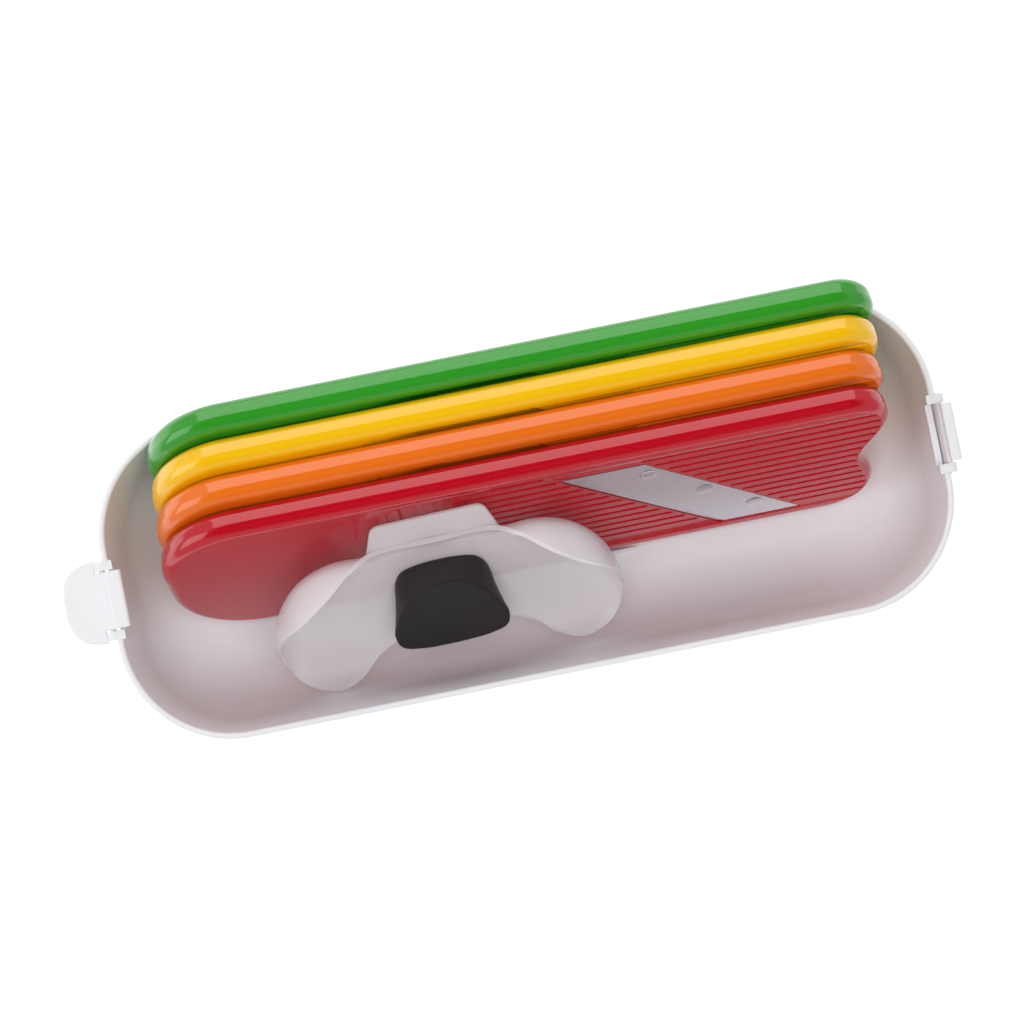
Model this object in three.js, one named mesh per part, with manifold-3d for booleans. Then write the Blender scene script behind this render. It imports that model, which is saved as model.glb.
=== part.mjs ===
// A mandoline slicer set: four slicers leaning in a long tub, a finger guard in
// front of them, and a latch at each end of the tub.
// Millimetres, +Z up. The origin is the centre of the tub's base, on the surface
// it stands on; +X runs towards the slicers' notched ends, +Y to the rear wall.
import * as THREE from "three";
import { mergeVertices } from "three/addons/utils/BufferGeometryUtils.js";
import Module from "manifold-3d";

const wasm = await Module();
wasm.setup();

// ---- driving dimensions: tub ----
const TUB_HALF_LENGTH = 185;
const TUB_HALF_WIDTH = 70.5;
const TUB_CORNER_RADIUS = 50;
const TUB_HEIGHT = 61;
const TUB_WALL = 2.8;
const TUB_DRAFT = THREE.MathUtils.degToRad(8);
const TUB_FLOOR_FILLET = 36;
const NOTCH_HALF_WIDTH = 17.4;
const LUG_THICKNESS = 4;
const LUG_RADIUS = 2.6;
const LUG_HOLE_RADIUS = 1.55;
const LUG_BAR_HALF = LUG_RADIUS - 0.2;
const LUG_BAR_ROOT = 1.4;
const SEAT_CUT = { inward: 16, outward: 8, below: 5 };
const FLOOR_RIB = { halfLength: 50, y: -23.2, thickness: 1.8, top: 8, taper: 12 };
const BACK_REST = { x: 88, thickness: 2.6, bottom: 12, knee: 26, top: 57, gap: 0.6 };

// ---- driving dimensions: latches ----
const PIVOT_X = 186;
const PIVOT_DROP = 3.6;
const LATCH_STRAP_WIDTH = 25.2;
const LATCH_SHEET = 2.2;
const LATCH_ARM_HEIGHT = 8.4;
const LATCH_ARM_OFFSET = 3.1;
const LATCH_LIP_REACH = 4;
const LATCH_LIP_THICKNESS = 1.9;
const TAB_HALF_WIDTH = 18.25;
const TAB_START = 3;
const TAB_END = 19.2;
const TAB_LEAN = THREE.MathUtils.degToRad(4);
const TAB_SQUARENESS = { across: 0.72, down: 0.8 };
const TRUNNION_RADIUS = 1.25;
const TRUNNION_SHORT = 0.6;
const LEFT_LATCH_OPEN = THREE.MathUtils.degToRad(90);

// ---- driving dimensions: slicers ----
const SLICER_LENGTH = 322.4;
const SLICER_WIDTH = 95;
const SLICER_THICKNESS = 13.4;
const SLICER_EDGE_RADIUS = 5.2;
const SLICER_LEAN = THREE.MathUtils.degToRad(24.9);
const SLICER_PITCH = 15.2;
const SLICER_STAGGER = 1;
const SLICER_START_X = -160.2;
const SLICER_FRONT_Y = -23.1;
const SLICER_FRONT_Z = 7.4;
const HANDLE_RADIUS = 38;
const HORN_RADIUS = 20;
const HORN_SLANT = 6.8;
const NOTCH_DEPTH = 7;
const RAMP_START = 92;
const RAMP_END = 130;
const DECK_LOW = 8.6;
const DECK_HIGH = SLICER_WIDTH - 8.5;
const DECK_END_MARGIN = 3;
const RUN_OUT_RECESS = 0.6;
const DECK_THICKNESS = 3;
const BACK_HOLLOW = { start: 136, endMargin: 20, sideMargin: 10 };
const GROOVE_PITCH = 5.71;
const GROOVE_WIDTH = 1.7;
const GROOVE_DEPTH = 0.6;
const GROOVE_FIRST = 15.5;
const GROOVE_COUNT = 13;
const GROOVE_STOP = { beforeSlot: 1.5, afterBlade: 2, beforeEnd: 1 };

// ---- driving dimensions: blade and rivets ----
const BLADE_LOW = 9.5;
const BLADE_HIGH = 81;
const BLADE_EDGE_LOW_U = 244.9;
const BLADE_EDGE_HIGH_U = 176;
const BLADE_ALONG = 37.7;
const BLADE_THICKNESS = 0.8;
const BLADE_CLEARANCE = 0.3;
const BLADE_EDGE_SETBACK = 0.4;
const SLOT_BEFORE_EDGE = 1.2;
const SLOT_UNDER_BLADE = 7;
const BLADE_END_SEAT = 3.5;
const RIVET_HEIGHTS = [22.5, 45.6, 71.2];
const RIVET_FROM_REAR = 7.8;
const RIVET_HEAD_RADIUS = 3.9;
const RIVET_HEAD_HEIGHT = 0.65;
const RIVET_SHANK_RADIUS = 1.5;
const RIVET_SHANK_LENGTH = 2.6;
const RIVET_GAP = 0.06;

// ---- driving dimensions: finger guard ----
const GUARD_X = -40.5;
const GUARD_Y = -39.9;
const GUARD_Z = 36.5;
const GUARD_TILT = THREE.MathUtils.degToRad(42.5);
const GUARD_YAW = THREE.MathUtils.degToRad(1.4);
const GUARD_SHEET = 2;
const GUARD_BEND_RADIUS = 12;
const GUARD_MIDDLE = new THREE.Vector2(0, 24);
const GUARD_SPOKES = 72;
const GUARD_TAB = { base: 48, top: 66, baseHalf: 30.5, topHalf: 24, corner: 5, cornerStart: 0.25 };
const PRONG_PLACES = [[18, 37], [26.5, 30.5], [34.5, 24], [24, 15], [12, 11]];
const PRONG_LENGTH = 7;
const PRONG_RADIUS = 1.4;
const PRONG_TIP_RADIUS = 0.3;
const KNOB_HEIGHT = 16.5;
const KNOB_CENTRE_V = 24;
const KNOB_GAP = 0.3;
const KNOB_POINTS = 40;

// How far a cutting body stands out of the face that it cuts, and how far an
// added body is sunk into the wall that it grows from.
const CUT_OVER = 5;
const ROOT = 0.5;

const COLOURS = {
  white: 0xececee,
  green: 0x43a636,
  yellow: 0xffcd17,
  orange: 0xf07a23,
  red: 0xc70923,
  steel: 0xc9cdd0,
  frosted: 0xded8dd,
  black: 0x383236,
};

// ---------------------------------------------------------------- solid helpers

function toSolid(geometry) {
  const plain = geometry.clone();
  plain.deleteAttribute("normal");
  plain.deleteAttribute("uv");
  const merged = mergeVertices(plain, 1e-4);
  return new wasm.Manifold(new wasm.Mesh({
    numProp: 3,
    vertProperties: new Float32Array(merged.attributes.position.array),
    triVerts: new Uint32Array(merged.index.array),
  }));
}

function toGeometry(solid) {
  const mesh = solid.getMesh();
  const geometry = new THREE.BufferGeometry();
  geometry.setAttribute("position", new THREE.BufferAttribute(mesh.vertProperties, 3));
  geometry.setIndex(new THREE.BufferAttribute(mesh.triVerts, 1));
  geometry.computeVertexNormals();
  return geometry;
}

// Closes a stack of rings with the same number of points into one body, with a
// fan over the first ring and over the last.
function loft(rings) {
  const count = rings[0].length;
  const last = rings.length - 1;
  const positions = rings.flat().flatMap((point) => [point.x, point.y, point.z]);
  const index = [];
  for (let level = 0; level < last; level += 1) {
    for (let i = 0; i < count; i += 1) {
      const a = level * count + i;
      const b = level * count + ((i + 1) % count);
      index.push(a, b, b + count);
      index.push(a, b + count, a + count);
    }
  }
  for (const level of [0, last]) {
    const centre = new THREE.Vector3();
    rings[level].forEach((point) => centre.addScaledVector(point, 1 / count));
    const hub = positions.length / 3;
    positions.push(centre.x, centre.y, centre.z);
    for (let i = 0; i < count; i += 1) {
      const a = level * count + i;
      const b = level * count + ((i + 1) % count);
      index.push(...(level === 0 ? [hub, b, a] : [hub, a, b]));
    }
  }
  const geometry = new THREE.BufferGeometry();
  geometry.setAttribute("position", new THREE.Float32BufferAttribute(positions, 3));
  geometry.setIndex(index);
  return geometry;
}

function arcPoints(centreX, centreY, radius, from, to, steps) {
  const points = [];
  for (let i = 0; i <= steps; i += 1) {
    const angle = from + ((to - from) * i) / steps;
    points.push(new THREE.Vector2(
      centreX + radius * Math.cos(angle),
      centreY + radius * Math.sin(angle),
    ));
  }
  return points;
}

// A flat outline in X and Y, pushed from z = low to z = high.
function prism(points, low, high) {
  const geometry = new THREE.ExtrudeGeometry(new THREE.Shape(points), {
    depth: high - low,
    bevelEnabled: false,
  });
  return toSolid(geometry.translate(0, 0, low));
}

// A flat outline in X and Z, pushed along Y from -half to +half.
function prismAlongY(points, half) {
  const geometry = new THREE.ExtrudeGeometry(new THREE.Shape(points), {
    depth: 2 * half,
    bevelEnabled: false,
  });
  geometry.translate(0, 0, -half);
  geometry.rotateX(Math.PI / 2);
  return toSolid(geometry);
}

function box(x0, x1, y0, y1, z0, z1) {
  const geometry = new THREE.BoxGeometry(x1 - x0, y1 - y0, z1 - z0);
  return toSolid(geometry.translate((x0 + x1) / 2, (y0 + y1) / 2, (z0 + z1) / 2));
}

function rodAlongY(x, z, radius, y0, y1, segments = 16) {
  const geometry = new THREE.CylinderGeometry(radius, radius, y1 - y0, segments);
  return toSolid(geometry.translate(x, (y0 + y1) / 2, z));
}

function plastic(colour, roughness) {
  return new THREE.MeshStandardMaterial({ color: colour, roughness, metalness: 0 });
}

function metal(colour, roughness) {
  return new THREE.MeshStandardMaterial({ color: colour, roughness, metalness: 1 });
}

function namedMesh(name, solid, material) {
  const mesh = new THREE.Mesh(toGeometry(solid), material);
  mesh.name = name;
  return mesh;
}

// ---------------------------------------------------------------- tub

function roundedRectangleRing(inset, z) {
  const steps = 9;
  const radius = TUB_CORNER_RADIUS - inset;
  const x = TUB_HALF_LENGTH - TUB_CORNER_RADIUS;
  const y = TUB_HALF_WIDTH - TUB_CORNER_RADIUS;
  const quarter = Math.PI / 2;
  return [[x, y, 0], [-x, y, 1], [-x, -y, 2], [x, -y, 3]].flatMap(([cx, cy, turn]) =>
    arcPoints(cx, cy, radius, turn * quarter, (turn + 1) * quarter, steps)
      .map((point) => new THREE.Vector3(point.x, point.y, z)));
}

// The tub's section: a flat base, a broad fillet and a drafted wall. The inner
// skin is the same section moved in by the wall's thickness.
function tubSection(skin) {
  const steps = 8;
  const radius = TUB_FLOOR_FILLET - skin;
  const tangentHeight = TUB_FLOOR_FILLET * (1 - Math.sin(TUB_DRAFT));
  const fold = (TUB_HEIGHT - tangentHeight) * Math.tan(TUB_DRAFT);
  const centreInset = fold + TUB_FLOOR_FILLET * Math.cos(TUB_DRAFT);
  const arc = arcPoints(
    centreInset, TUB_FLOOR_FILLET, radius, -Math.PI / 2, -Math.PI + TUB_DRAFT, steps,
  );
  const rimInset = skin / Math.cos(TUB_DRAFT);
  return [...arc.map((point) => [point.x, point.y]), [rimInset, TUB_HEIGHT]];
}

function tubShell() {
  const outside = tubSection(0).map(([inset, z]) => roundedRectangleRing(inset, z));
  const inside = tubSection(TUB_WALL).map(([inset, z]) => roundedRectangleRing(inset, z));
  return toSolid(loft([...outside, ...inside.reverse()]));
}

// Two lugs at each end carry the latch; the rim is cut down over them and cut
// deeper between them, where the latch swings.
function addLatchSeat(tub, side) {
  const pivotZ = TUB_HEIGHT - PIVOT_DROP;
  const inner = NOTCH_HALF_WIDTH - LUG_THICKNESS;
  const far = side * (PIVOT_X + SEAT_CUT.outward);
  const near = side * (PIVOT_X - SEAT_CUT.inward);
  const x = [Math.min(far, near), Math.max(far, near)];
  const above = TUB_HEIGHT + CUT_OVER;
  let seat = tub.subtract(box(
    x[0], x[1], -NOTCH_HALF_WIDTH, NOTCH_HALF_WIDTH, pivotZ + LUG_BAR_HALF, above,
  ));
  const wallX = side * (TUB_HALF_LENGTH - TUB_WALL - LUG_BAR_ROOT);
  const bar = [Math.min(wallX, side * PIVOT_X), Math.max(wallX, side * PIVOT_X)];
  for (const [y0, y1] of [[-NOTCH_HALF_WIDTH, -inner], [inner, NOTCH_HALF_WIDTH]]) {
    seat = seat.add(box(bar[0], bar[1], y0, y1, pivotZ - LUG_BAR_HALF, pivotZ + LUG_BAR_HALF));
    seat = seat.add(rodAlongY(side * PIVOT_X, pivotZ, LUG_RADIUS, y0, y1));
  }
  seat = seat.subtract(box(x[0], x[1], -inner, inner, pivotZ - SEAT_CUT.below, above));
  const hole = NOTCH_HALF_WIDTH + 2;
  return seat.subtract(rodAlongY(side * PIVOT_X, pivotZ, LUG_HOLE_RADIUS, -hole, hole));
}

// A low rib on the floor that keeps the slicers' lower edges from sliding out.
function floorRib() {
  const floor = TUB_WALL - ROOT;
  const outline = [
    [-FLOOR_RIB.halfLength, floor],
    [FLOOR_RIB.halfLength, floor],
    [FLOOR_RIB.halfLength - FLOOR_RIB.taper, FLOOR_RIB.top],
    [-FLOOR_RIB.halfLength + FLOOR_RIB.taper, FLOOR_RIB.top],
  ].map(([x, z]) => new THREE.Vector2(x, z));
  const half = FLOOR_RIB.thickness / 2;
  return prismAlongY(outline, half).translate([0, FLOOR_RIB.y, 0]);
}

// Where the rearmost slicer's back face is at a given height.
function stackBackY(z) {
  const cornerY = SLICER_FRONT_Y + 3 * SLICER_PITCH + SLICER_THICKNESS * Math.cos(SLICER_LEAN);
  const cornerZ = SLICER_FRONT_Z - SLICER_THICKNESS * Math.sin(SLICER_LEAN);
  return cornerY + (z - cornerZ) * Math.tan(SLICER_LEAN);
}

// A fin between the rear wall and the stack, with its front edge at the stack's lean.
function backRest(x) {
  const { thickness, bottom, knee, top, gap } = BACK_REST;
  const wallY = (z) => TUB_HALF_WIDTH - TUB_WALL + 2 * ROOT - (TUB_HEIGHT - z) * Math.tan(TUB_DRAFT);
  const footInset = 9;
  const outline = [
    [stackBackY(bottom) + gap, bottom],
    [wallY(bottom) - footInset, bottom],
    [wallY(knee) - 2 * ROOT, knee],
    [wallY(top), top],
    [stackBackY(top) + gap, top],
  ].map(([y, z]) => new THREE.Vector3(0, y, z));
  const half = thickness / 2;
  const ring = (offset) => outline.map((point) => new THREE.Vector3(x + offset, point.y, point.z));
  return toSolid(loft([ring(-half), ring(half)]));
}

function makeTub() {
  let tub = tubShell();
  tub = addLatchSeat(tub, 1);
  tub = addLatchSeat(tub, -1);
  tub = tub.add(floorRib());
  for (const x of [-BACK_REST.x, BACK_REST.x]) {
    tub = tub.add(backRest(x));
  }
  return namedMesh("tub", tub, plastic(COLOURS.white, 0.25));
}

// ---------------------------------------------------------------- latches

// The arm and hub in section, closed: the arm stands up from the pivot, outward
// of it, and its lip turns in over the rim. +X is outward.
function latchStrap() {
  const half = LATCH_SHEET / 2;
  const outer = LATCH_ARM_OFFSET + half;
  const inner = LATCH_ARM_OFFSET - half;
  const lipBottom = LATCH_ARM_HEIGHT - LATCH_LIP_THICKNESS;
  const outline = [
    [half, -TAB_START - 1],
    [half + 0.5, -1],
    [outer - 0.4, 1.6],
    [outer, 3.4],
    [outer, LATCH_ARM_HEIGHT - 0.8],
    [outer - 0.8, LATCH_ARM_HEIGHT],
    [outer - LATCH_LIP_REACH - 0.6, LATCH_ARM_HEIGHT],
    [outer - LATCH_LIP_REACH - 1, lipBottom],
    [inner, lipBottom],
    [inner, 3.6],
    [inner - 1, 2.2],
    [-half, 1.4],
    [-half - 0.5, -1],
    [-half, -TAB_START - 1],
  ].map(([x, z]) => new THREE.Vector2(x, z));
  return prismAlongY(outline, LATCH_STRAP_WIDTH / 2);
}

// The thumb tab: a D below the hub, leaning in beside the tub's wall.
function latchTab() {
  const steps = 14;
  const depth = TAB_END - TAB_START;
  const outline = [];
  for (let i = 0; i <= steps; i += 1) {
    const angle = (Math.PI * i) / steps;
    const across = Math.abs(Math.cos(angle)) ** TAB_SQUARENESS.across;
    outline.push(new THREE.Vector2(
      TAB_HALF_WIDTH * Math.sign(Math.cos(angle)) * across,
      -TAB_START - depth * Math.sin(angle) ** TAB_SQUARENESS.down,
    ));
  }
  outline.reverse();
  const half = LATCH_SHEET / 2;
  const ring = (x) => outline.map((point) => new THREE.Vector3(
    x + point.y * Math.tan(TAB_LEAN), point.x, point.y,
  ));
  return toSolid(loft([ring(-half), ring(half)]));
}

function latchSolid() {
  const reach = NOTCH_HALF_WIDTH - TRUNNION_SHORT;
  const trunnions = rodAlongY(0, 0, TRUNNION_RADIUS, -reach, reach);
  return latchStrap().add(latchTab()).add(trunnions);
}

function makeLatch(name, side, openAngle) {
  const mesh = namedMesh(name, latchSolid(), plastic(COLOURS.white, 0.25));
  const swing = new THREE.Group();
  swing.rotation.y = -openAngle;
  swing.add(mesh);
  const seat = new THREE.Group();
  seat.position.set(side * PIVOT_X, 0, TUB_HEIGHT - PIVOT_DROP);
  seat.rotation.z = side > 0 ? 0 : Math.PI;
  seat.add(swing);
  return seat;
}

// ---------------------------------------------------------------- slicer body
// A slicer is made flat: X along it from the handle end, Y across it from the
// lower edge, and its front face at z = 0 with the body behind it.

// The lower horn stops short of the upper one.
function slantedEnd(point) {
  const short = HORN_SLANT * (1 - point.y / SLICER_WIDTH);
  return new THREE.Vector2(point.x - short, point.y);
}

// The notched end is a cosine dip between two horns.
function notchedEndX(y, inset) {
  const half = SLICER_WIDTH / 2 - HORN_RADIUS;
  const share = Math.min(Math.abs(y - SLICER_WIDTH / 2) / half, 1);
  return SLICER_LENGTH - inset - NOTCH_DEPTH * 0.5 * (1 + Math.cos(Math.PI * share));
}

function slicerOutline(inset) {
  const quarter = Math.PI / 2;
  const right = SLICER_LENGTH - HORN_RADIUS;
  const top = SLICER_WIDTH;
  const dipSteps = 8;
  const dip = [];
  for (let i = 1; i < dipSteps; i += 1) {
    const y = HORN_RADIUS + ((top - 2 * HORN_RADIUS) * i) / dipSteps;
    dip.push(new THREE.Vector2(notchedEndX(y, inset), y));
  }
  return [
    ...arcPoints(right, HORN_RADIUS, HORN_RADIUS - inset, -quarter, 0, 5).map(slantedEnd),
    ...dip.map(slantedEnd),
    ...arcPoints(right, top - HORN_RADIUS, HORN_RADIUS - inset, 0, quarter, 5).map(slantedEnd),
    ...arcPoints(HANDLE_RADIUS, top - HANDLE_RADIUS, HANDLE_RADIUS - inset, quarter, 2 * quarter, 8),
    ...arcPoints(HANDLE_RADIUS, HANDLE_RADIUS, HANDLE_RADIUS - inset, 2 * quarter, 3 * quarter, 8),
  ];
}

function slicerBlank() {
  const steps = 3;
  const ring = (inset, z) => slicerOutline(inset).map((p) => new THREE.Vector3(p.x, p.y, z));
  const radius = SLICER_EDGE_RADIUS;
  const rings = [];
  for (let i = 0; i <= steps; i += 1) {
    const angle = (Math.PI / 2) * (i / steps);
    rings.push(ring(
      radius * (1 - Math.sin(angle)), -SLICER_THICKNESS + radius * (1 - Math.cos(angle)),
    ));
  }
  for (let i = steps; i >= 0; i -= 1) {
    const angle = (Math.PI / 2) * (i / steps);
    rings.push(ring(radius * (1 - Math.sin(angle)), -radius * (1 - Math.cos(angle))));
  }
  return toSolid(loft(rings));
}

// The X of a line parallel to the cutting edge, at height y.
function slantX(y, along) {
  const share = (y - BLADE_LOW) / (BLADE_HIGH - BLADE_LOW);
  return BLADE_EDGE_LOW_U + (BLADE_EDGE_HIGH_U - BLADE_EDGE_LOW_U) * share + along;
}

function slantedBand(from, to, low, high) {
  return [
    [slantX(low, from), low],
    [slantX(low, to), low],
    [slantX(high, to), high],
    [slantX(high, from), high],
  ].map(([x, y]) => new THREE.Vector2(x, y));
}

// What lies in front of the deck before the blade, seen along Y: the deck runs
// down a ramp from the handle's face to its full depth.
function aboveRunUp(depth) {
  const outline = [
    [RAMP_START, 0],
    [RAMP_END, -depth],
    [SLICER_LENGTH, -depth],
    [SLICER_LENGTH, CUT_OVER],
    [RAMP_START, CUT_OVER],
  ].map(([x, z]) => new THREE.Vector2(x, z));
  return prismAlongY(outline, SLICER_WIDTH);
}

// The ribbed deck before the blade: lower than the rest by one slice.
function runUpPocket(depth) {
  const outline = [
    [RAMP_START, DECK_LOW],
    [slantX(DECK_LOW, 0), DECK_LOW],
    [slantX(DECK_HIGH, 0), DECK_HIGH],
    [RAMP_START, DECK_HIGH],
  ].map(([x, y]) => new THREE.Vector2(x, y));
  return prism(outline, -SLICER_THICKNESS, CUT_OVER).intersect(aboveRunUp(depth));
}

// Where the deck after the blade ends, inside the notched end's curve.
function deckEndX(y, margin) {
  const corner = HORN_RADIUS - margin;
  const intoHorn = Math.max(HORN_RADIUS - Math.min(y, SLICER_WIDTH - y), 0);
  const drop = corner - Math.sqrt(Math.max(corner ** 2 - intoHorn ** 2, 0));
  const end = new THREE.Vector2(notchedEndX(y, margin) - drop, y);
  return slantedEnd(end).x;
}

function runOutPocket() {
  const end = [];
  const steps = 12;
  for (let i = 0; i <= steps; i += 1) {
    const y = DECK_LOW + ((DECK_HIGH - DECK_LOW) * i) / steps;
    end.push(new THREE.Vector2(deckEndX(y, DECK_END_MARGIN), y));
  }
  const outline = [
    new THREE.Vector2(slantX(DECK_LOW, 0), DECK_LOW),
    ...end,
    new THREE.Vector2(slantX(DECK_HIGH, 0), DECK_HIGH),
  ];
  return prism(outline, -RUN_OUT_RECESS, CUT_OVER);
}

function bladeSeat() {
  const room = 2 * BLADE_CLEARANCE;
  const depth = RUN_OUT_RECESS + BLADE_THICKNESS + BLADE_CLEARANCE;
  return prism(
    slantedBand(-0.1, BLADE_ALONG + room, BLADE_LOW - room, BLADE_HIGH + room), -depth, CUT_OVER,
  );
}

function feedSlot() {
  return prism(
    slantedBand(
      -SLOT_BEFORE_EDGE, SLOT_UNDER_BLADE, BLADE_LOW + BLADE_END_SEAT, BLADE_HIGH - BLADE_END_SEAT,
    ),
    -SLICER_THICKNESS - 1, CUT_OVER,
  );
}

function backHollow(stepDepth) {
  const low = BACK_HOLLOW.sideMargin;
  const high = SLICER_WIDTH - BACK_HOLLOW.sideMargin;
  const right = SLICER_LENGTH - BACK_HOLLOW.endMargin;
  const outline = [
    [BACK_HOLLOW.start, low], [right, low], [right, high], [BACK_HOLLOW.start, high],
  ].map(([x, y]) => new THREE.Vector2(x, y));
  const deckBack = RUN_OUT_RECESS + stepDepth + GROOVE_DEPTH + DECK_THICKNESS;
  return prism(outline, -SLICER_THICKNESS - 1, -deckBack);
}

// Grooves along both decks, stopped short of the blade seat.
function deckGrooves(stepDepth) {
  let grooves = null;
  const half = GROOVE_WIDTH / 2;
  for (let i = 0; i < GROOVE_COUNT; i += 1) {
    const y = GROOVE_FIRST + i * GROOVE_PITCH;
    const before = box(
      RAMP_END, slantX(y, -SLOT_BEFORE_EDGE - GROOVE_STOP.beforeSlot), y - half, y + half,
      -(RUN_OUT_RECESS + stepDepth + GROOVE_DEPTH), CUT_OVER,
    );
    const after = box(
      slantX(y, BLADE_ALONG + GROOVE_STOP.afterBlade),
      deckEndX(y, DECK_END_MARGIN) - GROOVE_STOP.beforeEnd,
      y - half, y + half, -(RUN_OUT_RECESS + GROOVE_DEPTH), CUT_OVER,
    );
    grooves = grooves ? grooves.add(before).add(after) : before.add(after);
  }
  return grooves;
}

function rivetPlaces() {
  return RIVET_HEIGHTS.map((y) => new THREE.Vector2(slantX(y, BLADE_ALONG - RIVET_FROM_REAR), y));
}

function rivetHole(place, radius) {
  const geometry = new THREE.CylinderGeometry(radius, radius, 2 * CUT_OVER, 12);
  geometry.rotateX(Math.PI / 2);
  return toSolid(geometry.translate(place.x, place.y, 0));
}

function slicerBody(stepDepth) {
  let body = slicerBlank();
  body = body.subtract(runUpPocket(RUN_OUT_RECESS + stepDepth));
  body = body.subtract(runOutPocket());
  body = body.subtract(bladeSeat());
  body = body.subtract(backHollow(stepDepth));
  body = body.subtract(feedSlot());
  body = body.subtract(deckGrooves(stepDepth));
  for (const place of rivetPlaces()) {
    body = body.subtract(rivetHole(place, RIVET_SHANK_RADIUS + BLADE_CLEARANCE));
  }
  return body;
}

function bladeSolid() {
  const top = -RUN_OUT_RECESS;
  const outline = slantedBand(BLADE_EDGE_SETBACK, BLADE_ALONG, BLADE_LOW, BLADE_HIGH);
  let blade = prism(outline, top - BLADE_THICKNESS, top);
  for (const place of rivetPlaces()) {
    blade = blade.subtract(rivetHole(place, RIVET_SHANK_RADIUS + BLADE_CLEARANCE));
  }
  return blade;
}

// A domed head that stands on the blade, with its shank down through it.
function rivetSolid(place) {
  const shank = RIVET_SHANK_LENGTH;
  const profile = [
    [0, -shank],
    [RIVET_SHANK_RADIUS, -shank],
    [RIVET_SHANK_RADIUS, 0],
    [RIVET_HEAD_RADIUS, 0],
    [RIVET_HEAD_RADIUS * 0.92, RIVET_HEAD_HEIGHT * 0.4],
    [RIVET_HEAD_RADIUS * 0.6, RIVET_HEAD_HEIGHT * 0.85],
    [0, RIVET_HEAD_HEIGHT],
  ].map(([r, h]) => new THREE.Vector2(r, h));
  const geometry = new THREE.LatheGeometry(profile, 14);
  geometry.rotateX(Math.PI / 2);
  return toSolid(geometry.translate(place.x, place.y, RIVET_GAP - RUN_OUT_RECESS));
}

// One slicer: body, blade and three rivets, stood on its long edge and leant back.
// rank counts from the front of the stack.
function makeSlicer(name, rank, stepDepth) {
  const group = new THREE.Group();
  group.add(namedMesh(`${name}_body`, slicerBody(stepDepth), plastic(COLOURS[name], 0.15)));
  group.add(namedMesh(`${name}_blade`, bladeSolid(), metal(COLOURS.steel, 0.25)));
  rivetPlaces().forEach((place, i) => {
    group.add(namedMesh(`${name}_rivet_${i + 1}`, rivetSolid(place), metal(COLOURS.steel, 0.2)));
  });
  group.rotation.x = Math.PI / 2 - SLICER_LEAN;
  group.position.set(
    SLICER_START_X + rank * SLICER_STAGGER, SLICER_FRONT_Y + rank * SLICER_PITCH, SLICER_FRONT_Z,
  );
  return group;
}

// ---------------------------------------------------------------- finger guard
// The guard is made flat: X across it, Y from its lower edge to its tab, and Z
// out of the plate towards the hand.

// Half the plate's outline from top centre to bottom centre: across, up, and the
// height of the wall that stands on it there.
const GUARD_OUTLINE = [
  [0, 54, 2.6], [26, 54, 3], [38, 55, 13], [50, 54.5, 27], [61, 49.5, 32], [70, 39.2, 27],
  [75.5, 24, 17], [76.5, 6.2, 5], [74, -9.6, 1.5], [67, -19.5, 1], [56, -23.7, 1], [45, -17.8, 1],
  [36, -7.4, 1], [26, -1.1, 1], [11, 0, 1],
];

function guardCurve() {
  const right = GUARD_OUTLINE.map(([x, y, h]) => new THREE.Vector3(x, y, h));
  const left = GUARD_OUTLINE.slice(1).map(([x, y, h]) => new THREE.Vector3(-x, y, h)).reverse();
  return new THREE.CatmullRomCurve3([...left, ...right].reverse(), true, "centripetal");
}

// The sheet in section along a line from the plate's middle outwards: flat, then
// bent up on a radius, then straight up to the wall's height.
function guardSection(reach, height) {
  const bend = GUARD_BEND_RADIUS;
  const turn = Math.acos(Math.max(1 - height / bend, 0));
  const start = reach - bend * Math.sin(turn);
  const points = [[start * 0.35, 0, 0], [start * 0.75, 0, 0]];
  const steps = 4;
  for (let i = 0; i <= steps; i += 1) {
    const angle = (turn * i) / steps;
    points.push([start + bend * Math.sin(angle), bend * (1 - Math.cos(angle)), angle]);
  }
  points.push([reach, Math.max(height, bend * (1 - Math.cos(turn)) + 0.4), turn]);
  return points;
}

function guardShell() {
  const around = guardCurve().getSpacedPoints(GUARD_SPOKES).slice(0, GUARD_SPOKES);
  const spokes = around.map((point) => {
    const out = new THREE.Vector2(point.x, point.y).sub(GUARD_MIDDLE);
    return { direction: out.clone().normalize(), section: guardSection(out.length(), point.z) };
  });
  const half = GUARD_SHEET / 2;
  const ring = (level, side) => spokes.map(({ direction, section }) => {
    const [reach, height, angle] = section[level];
    const r = reach - side * half * Math.sin(angle);
    const z = height + side * half * Math.cos(angle);
    return new THREE.Vector3(GUARD_MIDDLE.x + direction.x * r, GUARD_MIDDLE.y + direction.y * r, z);
  });
  const levels = [...spokes[0].section.keys()];
  return toSolid(loft([
    ...levels.map((level) => ring(level, -1)),
    ...levels.reverse().map((level) => ring(level, 1)),
  ]));
}

function guardTab() {
  const { base, top, baseHalf, topHalf, corner, cornerStart } = GUARD_TAB;
  const x = topHalf - corner * 0.6;
  const y = top - corner;
  const outline = [
    new THREE.Vector2(baseHalf, base),
    ...arcPoints(x, y, corner, cornerStart, Math.PI / 2, 4),
    ...arcPoints(-x, y, corner, Math.PI / 2, Math.PI - cornerStart, 4),
    new THREE.Vector2(-baseHalf, base),
  ];
  return prism(outline, -GUARD_SHEET / 2, GUARD_SHEET / 2);
}

function guardProng(x, y) {
  const geometry = new THREE.CylinderGeometry(PRONG_RADIUS, PRONG_TIP_RADIUS, PRONG_LENGTH, 8);
  geometry.rotateX(Math.PI / 2);
  return toSolid(geometry.translate(x, y, ROOT - (GUARD_SHEET + PRONG_LENGTH) / 2));
}

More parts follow.
